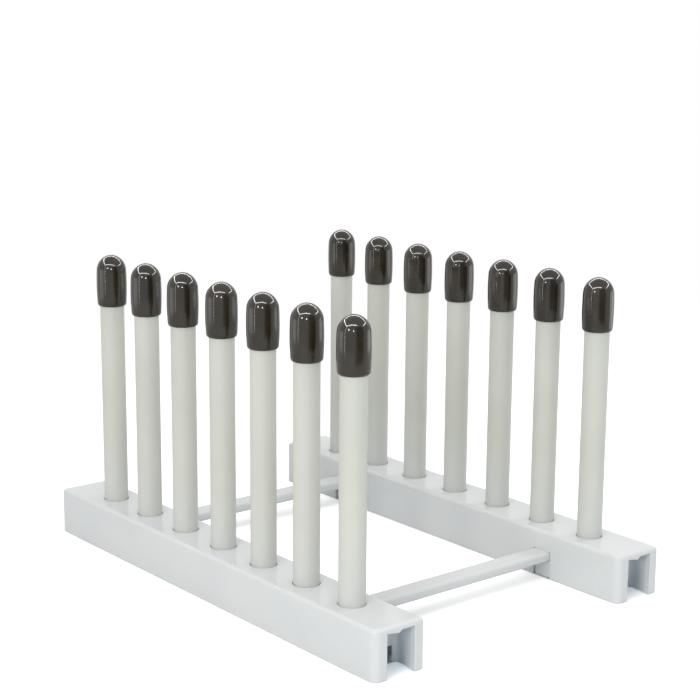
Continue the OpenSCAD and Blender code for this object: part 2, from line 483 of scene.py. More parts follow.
@dataclass
class Effects:
    """Shared effects as node groups, each built once and placed in several finishes."""

    built: dict[str, bpy.types.NodeTree] = field(default_factory=dict)
    broad_span: Span = (0.32, 0.68)
    broad_detail: float = 2.0
    fine_share: float = 0.12
    fine_span: Span = (0.3, 0.7)
    fine_detail: float = 4.0
    wave_detail: float = 1.0
    peel_detail: float = 2.0
    speck_span: Span = (0.66, 0.74)
    speck_detail: float = 2.0
    upward_span: Span = (0.2, 0.9)
    upright_dust: float = 0.12
    hair_ways: tuple[tuple[float, Colour], ...] = ((0.5, (1.0, 14.0, 9.0)), (-0.8, (12.0, 1.0, 8.0)))
    hair_tilt: float = 0.3
    hair_span: Span = (0.70, 0.74)
    hair_detail: float = 1.0

    def place(self, wiring: Wiring, effect: str, inputs: Inputs) -> bpy.types.Node:
        """Place an effect's group in a finish.

        Args:
            wiring: Wiring of the finish's material.
            effect: Name of the effect, which is also the name of the method that draws it.
            inputs: Values and links of the group's inputs.

        Returns:
            The group node.
        """
        if effect not in self.built:
            self.built[effect] = bpy.data.node_groups.new(effect, "ShaderNodeTree")
            getattr(self, effect)(self.built[effect])
        return wiring.add("ShaderNodeGroup", inputs, node_tree=self.built[effect])

    @staticmethod
    def sockets(
        tree: bpy.types.NodeTree, inputs: dict[str, str], outputs: Sequence[str]
    ) -> tuple[Wiring, Sequence[Socket], Sequence[Socket]]:
        """Give a group its sockets.

        Args:
            tree: The group.
            inputs: Name and kind of each input, the kind being Vector or Float.
            outputs: Names of the outputs, each a value.

        Returns:
            The group's wiring, what its inputs give, and what its outputs take.
        """
        for name, kind in inputs.items():
            tree.interface.new_socket(name, in_out="INPUT", socket_type="NodeSocket" + kind)
        for name in outputs:
            tree.interface.new_socket(name, in_out="OUTPUT", socket_type="NodeSocketFloat")
        wiring = Wiring(tree)
        return wiring, wiring.add("NodeGroupInput").outputs, wiring.add("NodeGroupOutput").inputs

    def tone_drift(self, tree: bpy.types.NodeTree) -> None:
        """Draw slow changes of tone, as of pigment that flowed with the plastic."""
        wiring, given, result = self.sockets(
            tree, {"Vector": "Vector", "Patch": "Float"}, ["Broad", "Fine"]
        )
        broad = wiring.noise(given["Vector"], given["Patch"], self.broad_detail)
        fine_size = wiring.math("MULTIPLY", given["Patch"], self.fine_share)
        fine = wiring.noise(given["Vector"], fine_size, self.fine_detail)
        wiring.link(wiring.ramp(broad, self.broad_span), result["Broad"])
        wiring.link(wiring.ramp(fine, self.fine_span), result["Fine"])

    def skin(self, tree: bpy.types.NodeTree) -> None:
        """Draw the height of a plastic skin: slow waves with a fine peel on them."""
        kinds = {"Vector": "Vector", "Wave": "Float", "Peel": "Float", "Peel Share": "Float"}
        wiring, given, result = self.sockets(tree, kinds, ["Height"])
        wave = wiring.noise(given["Vector"], given["Wave"], self.wave_detail)
        peel = wiring.noise(given["Vector"], given["Peel"], self.peel_detail)
        part = wiring.math("MULTIPLY", peel, given["Peel Share"])
        wiring.link(wiring.math("ADD", wave, part), result["Height"])

    def handling(self, tree: bpy.types.NodeTree) -> None:
        """Draw dust that lies on upward faces and the hairline rubs of handling."""
        wiring, given, result = self.sockets(
            tree, {"Vector": "Vector", "Speck": "Float", "Hair": "Float"}, ["Dust", "Rub"]
        )
        specks = wiring.noise(given["Vector"], given["Speck"], self.speck_detail)
        _, _, upward = wiring.split(wiring.add("ShaderNodeNewGeometry").outputs["Normal"])
        lying = wiring.ramp(upward, self.upward_span, self.upright_dust)
        dust = wiring.math("MULTIPLY", wiring.ramp(specks, self.speck_span), lying)
        hairs = []
        for turn, long_way in self.hair_ways:
            drawn = wiring.stretch(given["Vector"], long_way, (turn, self.hair_tilt * turn, turn))
            line = wiring.noise(drawn, given["Hair"], self.hair_detail)
            hairs.append(wiring.ramp(line, self.hair_span))
        wiring.link(dust, result["Dust"])
        wiring.link(wiring.chain("MAXIMUM", *hairs), result["Rub"])

    def edge_polish(self, tree: bpy.types.NodeTree) -> None:
        """Draw the nearness to a box's edges, where a moulding gets rubbed."""
        kinds = {"Vector": "Vector", "Centre": "Vector", "Half": "Vector", "Reach": "Float"}
        wiring, given, result = self.sockets(tree, kinds, ["Mask"])
        away = wiring.vector_math("SUBTRACT", given["Vector"], given["Centre"])
        size = wiring.vector_math("ABSOLUTE", away)
        x, y, z = wiring.split(wiring.vector_math("SUBTRACT", given["Half"], size))
        nearer, further = wiring.math("MINIMUM", x, y), wiring.math("MAXIMUM", x, y)
        second = wiring.math("MAXIMUM", nearer, wiring.math("MINIMUM", further, z))
        share = wiring.math("DIVIDE", second, given["Reach"])
        wiring.link(wiring.ramp(share, WHOLE, 1.0, 0.0), result["Mask"])


def new_material(name: str) -> tuple[Material, Wiring, Socket]:
    """Make a material with an empty tree.

    Args:
        name: Name of the material.

    Returns:
        The material, its wiring and the input that its surface goes to.
    """
    material = bpy.data.materials.new(name)
    material.use_nodes = True
    material.node_tree.nodes.clear()
    wiring = Wiring(material.node_tree)
    return material, wiring, wiring.add("ShaderNodeOutputMaterial").inputs["Surface"]


def opaque(colour: Colour) -> tuple[float, float, float, float]:
    """Return a colour with full opacity."""
    return (*colour, 1.0)


# Finishes


@dataclass(frozen=True)
class Ground:
    """What a plastic's own drawing starts from: its place on the piece and the shared effects."""

    wiring: Wiring
    vector: Socket
    low: Vector
    high: Vector
    tone: Socket
    fine: Socket
    dust: Socket
    rub: Socket
    effects: Effects


@dataclass(frozen=True)
class Surface:
    """What a plastic's own drawing gives back, as outputs of its tree."""

    colour: Socket
    rough: Socket
    height: Socket


@dataclass(frozen=True)
class Plastic:
    """What the finishes share: a drifting tone, handling, and a bumped plastic surface."""

    light_tone: Colour
    dark_tone: Colour
    roughness: float
    rough_swing: float
    patch: float
    speck: float
    hair: float
    relief: float
    ior: float

    def surface(self, ground: Ground) -> Surface:
        """Draw the plastic's own colour, roughness and height."""
        raise NotImplementedError

    def material(self, name: str, low: Vector, high: Vector, effects: Effects) -> Material:
        """Build the finish for one piece, or for pieces that are copies of it.

        Args:
            name: Name of the material.
            low: Lowest corner of the piece.
            high: Highest corner of the piece.
            effects: Shared effects.

        Returns:
            The material.
        """
        material, wiring, target = new_material(name)
        vector = wiring.position()
        drift = effects.place(wiring, "tone_drift", {"Vector": vector, "Patch": self.patch})
        handling = effects.place(
            wiring, "handling", {"Vector": vector, "Speck": self.speck, "Hair": self.hair}
        )
        tone = wiring.mix_colour(drift.outputs["Broad"], opaque(self.dark_tone), opaque(self.light_tone))
        fine, dust, rub = drift.outputs["Fine"], handling.outputs["Dust"], handling.outputs["Rub"]
        drawn = self.surface(Ground(wiring, vector, low, high, tone, fine, dust, rub, effects))
        bump = wiring.add(
            "ShaderNodeBump", {"Height": drawn.height, "Distance": self.relief, "Strength": 1.0}
        )
        shader = wiring.add(
            "ShaderNodeBsdfPrincipled",
            {
                "Base Color": drawn.colour,
                "Roughness": drawn.rough,
                "IOR": self.ior,
                "Normal": bump.outputs["Normal"],
            },
        )
        wiring.link(shader.outputs["BSDF"], target)
        return material


@dataclass(frozen=True)
class SkinnedPlastic(Plastic):
    """A plastic with a wavy skin, on which dust shows."""

    dust_tone: Colour
    dust: float
    wave: float
    peel: float
    peel_share: float

    def dusted(self, ground: Ground, tone: Socket) -> Socket:
        """Lay dust over a colour and return the result."""
        share = ground.wiring.math("MULTIPLY", ground.dust, self.dust)
        return ground.wiring.mix_colour(share, tone, opaque(self.dust_tone))

    def skin(self, ground: Ground) -> Socket:
        """Draw the skin's waves and return their height."""
        sizes = {"Wave": self.wave, "Peel": self.peel, "Peel Share": self.peel_share}
        return ground.effects.place(ground.wiring, "skin", {"Vector": ground.vector, **sizes}).outputs[0]


@dataclass(frozen=True)
class MouldedPlastic(SkinnedPlastic):
    """Semi-gloss injection-moulded plastic, with flow waves, sink marks, rubbed edges, and painted light
    and shade on the faces inside.
    """

    light_tone: Colour = (0.638, 0.656, 0.656)
    dark_tone: Colour = (0.612, 0.630, 0.632)
    dust_tone: Colour = (0.74, 0.73, 0.70)
    # Tone painted on the faces inside: painted light, lighter and bluer, in the rails' channel; the bars
    # set a darker painted shade for their undersides
    painted_inner_lighting: Colour = (0.66, 0.71, 0.745)
    walls: tuple[float, float, float] = (2.4 * MM, 1.6 * MM, 1.8 * MM)
    painted_inner_blend: float = 0.3 * MM
    ior: float = 1.5
    roughness: float = 0.12
    rough_swing: float = 0.035
    polish: float = 0.05
    patch: float = 30 * MM
    wave: float = 13 * MM
    peel: float = 1.1 * MM
    peel_share: float = 0.035
    relief: float = 0.03 * MM
    sink_pitch: float = 21.2 * MM
    sink_start: float = 0.80
    sink_depth: float = 0.30
    edge_reach: float = 1.1 * MM
    dust: float = 0.10
    speck: float = 0.5 * MM
    hair: float = 6 * MM
    hair_rough: float = 0.03

    def surface(self, ground: Ground) -> Surface:
        """Draw the plastic's own colour, roughness and height.

        Args:
            ground: Place on the piece and the shared effects.

        Returns:
            The surface.
        """
        wiring = ground.wiring
        box = {"Centre": (ground.low + ground.high) / 2, "Half": (ground.high - ground.low) / 2}
        edges = ground.effects.place(
            wiring, "edge_polish", {"Vector": ground.vector, "Reach": self.edge_reach, **box}
        )
        # Painted light and shade: the faces inside take their own tone
        tone = wiring.mix_colour(self.inside(ground), ground.tone, opaque(self.painted_inner_lighting))
        swing = wiring.math("MULTIPLY", ground.fine, self.rough_swing)
        rubbed = wiring.math("MULTIPLY", ground.rub, self.hair_rough)
        polished = wiring.math("MULTIPLY", edges.outputs["Mask"], -self.polish)
        rough = wiring.chain("ADD", swing, self.roughness, rubbed, polished)
        height = wiring.math("ADD", self.skin(ground), self.sinks(ground))
        return Surface(self.dusted(ground, tone), rough, height)

    def inside(self, ground: Ground) -> Socket:
        """Mark the faces behind the walls of the piece's box, which take painted light and shade:
        lighter and bluer inside the rails' channel, darker on the bars' undersides.

        Args:
            ground: Place on the piece and the shared effects.

        Returns:
            A mask that is 1 behind the walls.
        """
        wiring = ground.wiring
        centre = Vector((*((ground.low + ground.high) / 2).xy, 0))
        reach = ground.high - centre - Vector(self.walls)
        size = wiring.vector_math("ABSOLUTE", wiring.vector_math("SUBTRACT", ground.vector, centre))
        mask_x, mask_y, mask_z = (
            wiring.ramp(place, (limit, limit + self.painted_inner_blend), 1.0, 0.0)
            for place, limit in zip(wiring.split(size), reach)
        )
        return wiring.math("MULTIPLY", wiring.math("MULTIPLY", mask_x, mask_y), mask_z)

    def sinks(self, ground: Ground) -> Socket:
        """Draw the shallow sink marks over the webs, one at each post.

        Args:
            ground: Place on the piece and the shared effects.

        Returns:
            The height that the marks add.
        """
        _, along, _ = ground.wiring.split(ground.vector)
        phase = ground.wiring.math("MULTIPLY", along, 2 * math.pi / self.sink_pitch)
        crest = ground.wiring.math("COSINE", phase)
        return ground.wiring.ramp(crest, (self.sink_start, 1.0), 0.0, -self.sink_depth)


@dataclass(frozen=True)
class DrawnTube(Plastic):
    """Satin extruded tube in warm grey, with faint die lines along it and painted light, lighter and
    bluer, near its foot.
    """

    light_tone: Colour = (0.562, 0.571, 0.520)
    dark_tone: Colour = (0.532, 0.543, 0.490)
    # Painted light: the tube turns lighter and bluer towards its foot
    painted_foot_light: Colour = (0.575, 0.590, 0.574)
    foot_height: float = 40 * MM
    ior: float = 1.48
    roughness: float = 0.30
    rough_swing: float = 0.08
    patch: float = 30 * MM
    line_width: float = 0.35 * MM
    line_stretch: float = 0.012
    line_detail: float = 3.0
    relief: float = 0.004 * MM
    speck: float = 0.4 * MM
    hair: float = 5 * MM

    def surface(self, ground: Ground) -> Surface:
        """Draw the tube's own colour, roughness and height.

        Args:
            ground: Place on the piece and the shared effects.

        Returns:
            The surface.
        """
        wiring, foot_end = ground.wiring, min(ground.low.z + self.foot_height, ground.high.z)
        _, _, height = wiring.split(ground.vector)
        # Painted light near the foot, blended in over the lowest part of the tube
        foot = wiring.ramp(height, (ground.low.z, foot_end), 1.0, 0.0)
        lengthwise = wiring.stretch(ground.vector, (1.0, 1.0, self.line_stretch))
        lines = wiring.noise(lengthwise, self.line_width, self.line_detail)
        drawn = wiring.math("MULTIPLY", lines, self.rough_swing)
        rubbed = wiring.math("MULTIPLY", ground.rub, self.rough_swing)
        rough = wiring.chain("ADD", drawn, rubbed, self.roughness)
        return Surface(wiring.mix_colour(foot, ground.tone, opaque(self.painted_foot_light)), rough, lines)


@dataclass(frozen=True)
class SoftVinyl(SkinnedPlastic):
    """Glossy black dipped vinyl, brownish in the light, a little wavy and dusty."""

    light_tone: Colour = (0.025, 0.0195, 0.0115)
    dark_tone: Colour = (0.016, 0.0125, 0.0075)
    dust_tone: Colour = (0.16, 0.15, 0.14)
    ior: float = 1.5
    roughness: float = 0.06
    rough_swing: float = 0.05
    patch: float = 6 * MM
    wave: float = 5 * MM
    peel: float = 0.8 * MM
    peel_share: float = 0.003
    relief: float = 0.014 * MM
    dust: float = 0.12
    speck: float = 0.35 * MM
    hair: float = 3 * MM

    def surface(self, ground: Ground) -> Surface:
        """Draw the vinyl's own colour, roughness and height.

        Args:
            ground: Place on the piece and the shared effects.

        Returns:
            The surface.
        """
        wiring = ground.wiring
        _, _, height = wiring.split(ground.vector)
        scuffed = wiring.ramp(height, (ground.low.z, ground.high.z), self.rough_swing, 0.0)
        swing = wiring.math("MULTIPLY", ground.fine, self.rough_swing)
        rough = wiring.chain("ADD", swing, scuffed, self.roughness)
        return Surface(self.dusted(ground, ground.tone), rough, self.skin(ground))


@dataclass(frozen=True)
class PaleFloor:
    """Pale studio floor that reads white to the camera and still takes soft shadows, with painted light
    on it in the rails' open pockets.
    """

    rail_centre: float
    rail_half_width: float
    rail_half_length: float
    pocket_depth: float = 9 * MM
    bounce_tone: Colour = (0.795, 0.80, 0.81)
    seen_tone: float = 0.99
    roughness: float = 0.8
    lift: float = 0.27
    # Painted light: bluish glow that the camera sees on the floor in the rails' open pockets
    painted_pocket_glow: Colour = (0.22, 0.26, 0.29)
    mottle: float = 0.006
    mottle_span: Span = (0.3, 0.7)
    mottle_size: float = 50 * MM
    mottle_detail: float = 3.0
    white_ring: Span = (0.20, 0.55)

    def material(self, name: str) -> Material:
        """Build the floor's material.

        Args:
            name: Name of the material.

        Returns:
            The material.
        """
        material, wiring, surface = new_material(name)
        vector = wiring.position()
        cloud = wiring.noise(vector, self.mottle_size, self.mottle_detail)
        mottle = wiring.ramp(cloud, self.mottle_span, -self.mottle, 0.0)
        rays = wiring.add("ShaderNodeLightPath").outputs
        seen = wiring.math("MAXIMUM", rays["Is Camera Ray"], rays["Is Transmission Ray"])
        grey = wiring.math("ADD", mottle, self.seen_tone)
        shown = wiring.add("ShaderNodeCombineColor", {0: grey, 1: grey, 2: grey}).outputs[0]
        # Painted light: the floor in the rails' open pockets glows bluish to the camera
        pocket, hidden = self.under_rails(wiring, vector)
        plain = (self.lift, self.lift, self.lift)
        shader = wiring.add(
            "ShaderNodeBsdfPrincipled",
            {
                "Base Color": wiring.mix_colour(seen, opaque(self.bounce_tone), shown),
                "Roughness": self.roughness,
                "Specular IOR Level": 0.0,
                "Emission Color": wiring.mix_colour(pocket, opaque(plain), opaque(self.painted_pocket_glow)),
                "Emission Strength": wiring.math("MULTIPLY", seen, wiring.math("SUBTRACT", 1.0, hidden)),
            },
        )
        away = wiring.add("ShaderNodeVectorMath", {0: vector}, operation="LENGTH").outputs["Value"]
        mirrored = wiring.math("MAXIMUM", seen, rays["Is Glossy Ray"])
        share = wiring.math("MULTIPLY", wiring.ramp(away, self.white_ring), mirrored)
        glow = wiring.add("ShaderNodeEmission", {"Color": opaque(WHITE), "Strength": 1.0})
        shaders = {0: share, 1: shader.outputs[0], 2: glow.outputs[0]}
        wiring.link(wiring.add("ShaderNodeMixShader", shaders).outputs[0], surface)
        return material

    def under_rails(self, wiring: Wiring, vector: Socket) -> tuple[Socket, Socket]:
        """Draw where the floor lies inside a rail, out of the open light.

        Args:
            wiring: Wiring of the material.
            vector: Place on the floor.

        Returns:
            A mask of the open pockets at the ends, where the floor gets painted light, and one of the
            closed part between them.
        """
        x, y, _ = wiring.split(vector)
        off_centre = wiring.math("SUBTRACT", wiring.math("ABSOLUTE", x), self.rail_centre)
        across, along = wiring.math("ABSOLUTE", off_centre), wiring.math("ABSOLUTE", y)
        inside = wiring.math("LESS_THAN", across, self.rail_half_width)
        closed = wiring.math("LESS_THAN", along, self.rail_half_length - self.pocket_depth)
        within = wiring.math("LESS_THAN", along, self.rail_half_length)
        pocket = wiring.math("SUBTRACT", within, closed)
        return wiring.math("MULTIPLY", inside, pocket), wiring.math("MULTIPLY", inside, closed)


# The stand's own pieces


@dataclass
class ChannelRail:
    """A channel rail, open underneath, with post sockets, end mouths and key slots.

    It is drawn on its own centre line with the slotted wall towards +X, and turned and
    moved into place afterwards.
    """

    width: float
    length: float
    height: float
    post_count: int
    post_pitch: float
    post_radius: float
    seat_height: float
    slot_centre: float
    slot_width: float
    slot_height: float
    side_wall: float = 2.4 * MM
    top_wall: float = 1.8 * MM
    end_wall: float = 1.6 * MM
    round_corner: float = 2.5 * MM
    sharp_corner: float = 0.5 * MM
    top_edge: float = 1.2 * MM
    foot_edge: float = 0.25 * MM
    inner_corner: float = 1.5 * MM
    ceiling_edge: float = 0.4 * MM
    mouth_left: float = -4.35 * MM
    mouth_right: float = 5.75 * MM
    mouth_edge: float = 0.25 * MM
    nib_length: float = 5.4 * MM
    nib_drop: float = 0.75 * MM
    nib_slope_end: float = 0.78
    nib_heel: float = 0.88
    nib_heel_drop: float = 0.55
    pocket_depth: float = 9 * MM
    taper_length: float = 6.5 * MM
    rib_thickness: float = 1.4 * MM
    window_left: float = -4.5 * MM
    window_right: float = 4.9 * MM
    window_height: float = 5.3 * MM
    notch_right: float = 5.9 * MM
    notch_low: float = 1.9 * MM
    notch_high: float = 5.2 * MM
    bore_gap: float = 0.1 * MM
    bore_edge: float = 0.35 * MM
    socket_wall: float = 1.3 * MM
    socket_floor: float = 1.6 * MM
    socket_edge: float = 0.3 * MM
    web_thickness: float = 1.2 * MM
    pin_mark_radius: float = 1.6 * MM
    pin_mark_depth: float = 0.12 * MM
    sides: int = 72
    round_steps: int = 8
    top_steps: int = 5
    sharp_steps: int = 3
    foot_steps: int = 2
    inner_steps: int = 6
    ceiling_steps: int = 2
    bore_steps: int = 4

    @property
    def ceiling(self) -> float:
        """Height of the underside of the top wall."""
        return self.height - self.top_wall

    @property
    def inner_half(self) -> float:
        """Half the width of the space inside."""
        return self.width / 2 - self.side_wall

    @property
    def front(self) -> float:
        """Place of the front end face."""
        return -self.length / 2

    @property
    def first_post(self) -> float:
        """Place of the first post from the front."""
        return -(self.post_count - 1) * self.post_pitch / 2

    def row(self, piece: Piece) -> Piece:
        """Repeat a solid drawn at the origin at every post."""
        moved(piece, (0, self.first_post, 0))
        return repeat(piece, self.post_count, (0, self.post_pitch, 0))

    def build(self, name: str) -> Piece:
        """Model the rail on its own centre line.

        Args:
            name: Name of the piece.

        Returns:
            The rail, smooth shaded and closed.
        """
        rail = self.outside(name)
        combine(rail, self.cavity(), Join.CUT)
        combine(rail, self.row(self.socket()), Join.ADD)
        for turned in (False, True):
            for solid in (self.rib(), self.corner_fill(), self.mouth_wedge()):
                combine(rail, half_turn(solid) if turned else solid, Join.ADD)
        combine(rail, self.row(self.bore()), Join.CUT)
        for turned in (False, True):
            mouth = self.mouth()
            combine(rail, half_turn(mouth) if turned else mouth, Join.CUT)
        for place in (-self.slot_centre, self.slot_centre):
            combine(rail, self.key_slot(place), Join.CUT)
        combine(rail, self.pin_marks(), Join.CUT)
        face_outwards(rail)
        smooth(rail)
        return rail

    def outside(self, name: str) -> Piece:
        """Shape the outer block: two round corners, two sharp ones and a rounded top edge."""
        x, y = self.width / 2, self.length / 2
        rail = block(name, (-x, -y, 0), (x, y, self.height))
        round_edges(rail, lambda p: p.x * p.y > 0, self.round_corner, self.round_steps)
        round_edges(rail, lambda p: p.z > self.height - NEAR, self.top_edge, self.top_steps)
        reach = self.top_edge + NEAR

        def on_sharp_corner(point: Vector) -> bool:
            """Tell whether a point lies on the mitre of a sharp corner."""
            x_in, y_in = x - abs(point.x), y - abs(point.y)
            return point.x * point.y < 0 and abs(x_in - y_in) < NEAR and x_in < reach

        round_edges(rail, on_sharp_corner, self.sharp_corner, self.sharp_steps)
        round_edges(rail, lambda p: p.z < NEAR, self.foot_edge, self.foot_steps)
        return rail

    def cavity(self) -> Piece:
        """Shape the space inside, open at the foot with a rounded edge."""
        x, y = self.inner_half, self.length / 2 - self.end_wall
        space = block("cavity", (-x, -y, self.foot_edge), (x, y, self.ceiling))
        corner, steps = self.inner_corner, self.inner_steps
        round_edges(space, lambda p: p.x * p.y > 0, corner, steps)
        round_edges(space, lambda p: p.x * p.y < 0 and x - abs(p.x) < NEAR, corner, steps)
        edge, steps = self.ceiling_edge, self.ceiling_steps
        round_edges(space, lambda p: p.z > self.ceiling - NEAR, edge, steps)
        flare_face(
            space,
            lambda p: p.z < self.foot_edge + NEAR,
            Vector((0, 0, -1)),
            Vector((0, 0, 0)),
            Vector((x, y, 0)),
            self.foot_edge,
        )
        return space

    def socket(self) -> Piece:
        """Shape one socket with the web that ties it to both side walls."""
        foot = self.seat_height - self.socket_floor
        radius = self.post_radius + self.bore_gap + self.socket_wall
        top = self.ceiling + OVER
        rings = [(radius - self.socket_edge, foot), (radius, foot + self.socket_edge), (radius, top)]
        socket = turned_solid("socket", rings, self.sides)
        x, y = self.inner_half + OVER, self.web_thickness / 2
        combine(socket, block("web", (-x, -y, foot), (x, y, top)), Join.ADD)
        return socket

    def bore(self) -> Piece:
        """Shape the hole for one post, with a rounded mouth."""
        radius = self.post_radius + self.bore_gap
        edge = self.bore_edge
        rings = [(radius, self.seat_height), (radius, self.height - edge)]
        for out, along in quarter_arc(self.bore_steps):
            rings.append((radius + edge * out, self.height - edge * (1 - along)))
        rings.append((rings[-1][0], self.height + OVER))
        return turned_solid("bore", rings, self.sides)

    def rib(self) -> Piece:
        """Shape the rib that closes the front pocket, above its notched window."""
        x, near = self.inner_half + OVER, self.front + self.pocket_depth
        far = near + self.rib_thickness
        rib = block("rib", (-x, near, self.foot_edge), (x, far, self.ceiling + OVER))
        window = block(
            "window",
            (self.window_left, near - OVER, -OVER),
            (self.window_right, far + OVER, self.window_height),
        )
        notch = block(
            "notch",
            (0, near - OVER, self.notch_low),
            (self.notch_right, far + OVER, self.notch_high),
        )
        combine(rib, window, Join.CUT)
        combine(rib, notch, Join.CUT)
        return rib

    def corner_fill(self) -> Piece:
        """Shape the fillet that rounds the pocket's inner corner at the slotted wall."""
        radius, far = self.inner_corner, self.front + self.pocket_depth
        fill = block(
            "fill",
            (self.inner_half - radius, far - radius, self.foot_edge),
            (self.inner_half + OVER, far + OVER, self.ceiling + OVER),
        )
        rings = [(radius, -OVER), (radius, self.ceiling + 2 * OVER)]
        hollow = turned_solid("hollow", rings, self.sides)
        combine(fill, moved(hollow, (self.inner_half - radius, far - radius, 0)), Join.CUT)
        return fill

    def mouth_wedge(self) -> Piece:
        """Shape the wedge that thickens the wall beside the front mouth."""
        near, deep = self.front + self.end_wall, self.front + self.taper_length
        wedge = block(
            "wedge",
            (self.mouth_right, near - OVER, self.foot_edge),
            (self.inner_half + OVER, deep, self.ceiling + OVER),
        )
        shift_points(
            wedge,
            lambda p: p.y > deep - NEAR and p.x < self.mouth_right + NEAR,
            (self.inner_half - self.mouth_right, 0, 0),
        )
        return wedge

    def mouth(self) -> Piece:
        """Shape the front mouth, with a nib that slopes down along its top edge."""
        near, deep = self.front + self.mouth_edge, self.front + self.end_wall + OVER / 2
        mouth = block("mouth", (self.mouth_left, near, -OVER), (self.mouth_right, deep, self.ceiling))
        drops = {
            self.nib_slope_end: self.nib_drop,
            self.nib_heel: self.nib_heel_drop * self.nib_drop,
            1.0: 0.0,
        }
        for share in drops:
            slice_along(mouth, (self.mouth_left + share * self.nib_length, 0, 0), (1, 0, 0))
        for share, drop in drops.items():
            x = self.mouth_left + share * self.nib_length
            shift_points(
                mouth,
                lambda p: abs(p.x - x) < NEAR and p.z > self.ceiling - NEAR,
                (0, 0, -drop),
            )
        middle = (self.mouth_left + self.mouth_right) / 2
        flare_face(
            mouth,
            lambda p: p.y < near + NEAR,
            Vector((0, -1, 0)),
            Vector((middle, near, -OVER)),
            Vector(((self.mouth_right - self.mouth_left) / 2, 0, self.ceiling + OVER)),
            self.mouth_edge,
        )
        return mouth

    def key_slot(self, place: float) -> Piece:
        """Shape one slot in the inner wall, into which a bar's key slides from below."""
        half = self.slot_width / 2
        return block(
            "slot",
            (self.inner_half - OVER, place - half, -OVER),
            (self.width / 2 + OVER, place + half, self.slot_height),
        )

    def pin_marks(self) -> Piece:
        """Shape the shallow marks of ejector pins in the ceiling, between the sockets."""
        rings = [
            (self.pin_mark_radius, self.ceiling - OVER),
            (self.pin_mark_radius, self.ceiling + self.pin_mark_depth),
        ]
        mark = turned_solid("pin_mark", rings, self.sides // 2)
        moved(mark, (0, self.first_post + self.post_pitch / 2, 0))
        return repeat(mark, self.post_count - 1, (0, self.post_pitch, 0))


@dataclass
class CrossBar:
    """A flat bar whose ends turn down into keys, each with a flange behind the wall."""

    low: Vector
    high: Vector
    inner_face: float
    side_wall: float = 2.4 * MM
    thickness: float = 3.3 * MM
    key_gap: float = 0.15 * MM
    key_recess: float = 0.3 * MM
    flange_reach: float = 1.4 * MM
    edge: float = 1.1 * MM
    edge_steps: int = 5

    def build(self, name: str) -> Piece:
        """Model the bar in its place.

        Args:
            name: Name of the piece.

        Returns:
            The bar, smooth shaded and closed.
        """
        top = self.high.z - self.flange_reach
        near, far = self.low.y + self.flange_reach, self.high.y - self.flange_reach
        wall_back = self.inner_face + self.side_wall
        key_in, flange_in = self.inner_face + self.key_recess, wall_back + self.key_gap
        bar = block(name, (-flange_in, near, top - self.thickness), (flange_in, far, top))
        for side in (-1, 1):
            slice_along(bar, (side * key_in, 0, 0), (1, 0, 0))
        under = top - self.thickness
        pick(bar, Part.FACE, lambda p: abs(p.x) > key_in - NEAR and p.z < under + NEAR)
        bpy.ops.mesh.extrude_region_move(TRANSFORM_OT_translate={"value": (0, 0, self.low.z - under)})
        bpy.ops.object.mode_set(mode="OBJECT")
        round_edges(bar, lambda p: p.y < near + NEAR, self.edge, self.edge_steps)
        round_edges(bar, lambda p: p.y > far - NEAR, self.edge, self.edge_steps)
        for side in (-1, 1):
            inner, outer = side * (flange_in - NEAR), side * self.high.x
            flange = block(
                "flange",
                (min(inner, outer), self.low.y, self.low.z),
                (max(inner, outer), self.high.y, self.high.z),
            )
            combine(bar, flange, Join.ADD)
        face_outwards(bar)
        smooth(bar)
        return bar


@dataclass
class TubePost:
    """An upright tube that stands in a socket."""

    low: Vector
    high: Vector
    wall: float = 1.2 * MM
    rim: float = 0.18 * MM
    rim_steps: int = 2
    sides: int = 72

    def build(self, name: str) -> Piece:
        """Model the tube in its place.

        Args:
            name: Name of the piece.

        Returns:
            The tube, smooth shaded and closed.
        """
        middle, radius = (self.low + self.high) / 2, (self.high.x - self.low.x) / 2
        clear_selection()
        bpy.ops.mesh.primitive_cylinder_add(
            vertices=self.sides,
            radius=radius,
            depth=self.high.z - self.low.z,
            end_fill_type="NOTHING",
            location=middle,
        )
        post = settle(named(bpy.context.active_object, name))
        wall = post.modifiers.new("wall", "SOLIDIFY")
        wall.thickness = self.wall
        wall.offset = -1
        bpy.ops.object.modifier_apply(modifier=wall.name)

        def on_ring(point: Vector, ring: float, height: float) -> bool:
            """Tell whether a point lies on the ring of a given radius and height."""
            away = math.hypot(point.x - middle.x, point.y - middle.y)
            return abs(away - ring) < NEAR and abs(point.z - height) < NEAR

        for height in (self.low.z, self.high.z):
            for ring in (radius, radius - self.wall):
                round_edges(post, lambda p: on_ring(p, ring, height), self.rim, self.rim_steps)
        face_outwards(post)
        smooth(post)
        return post


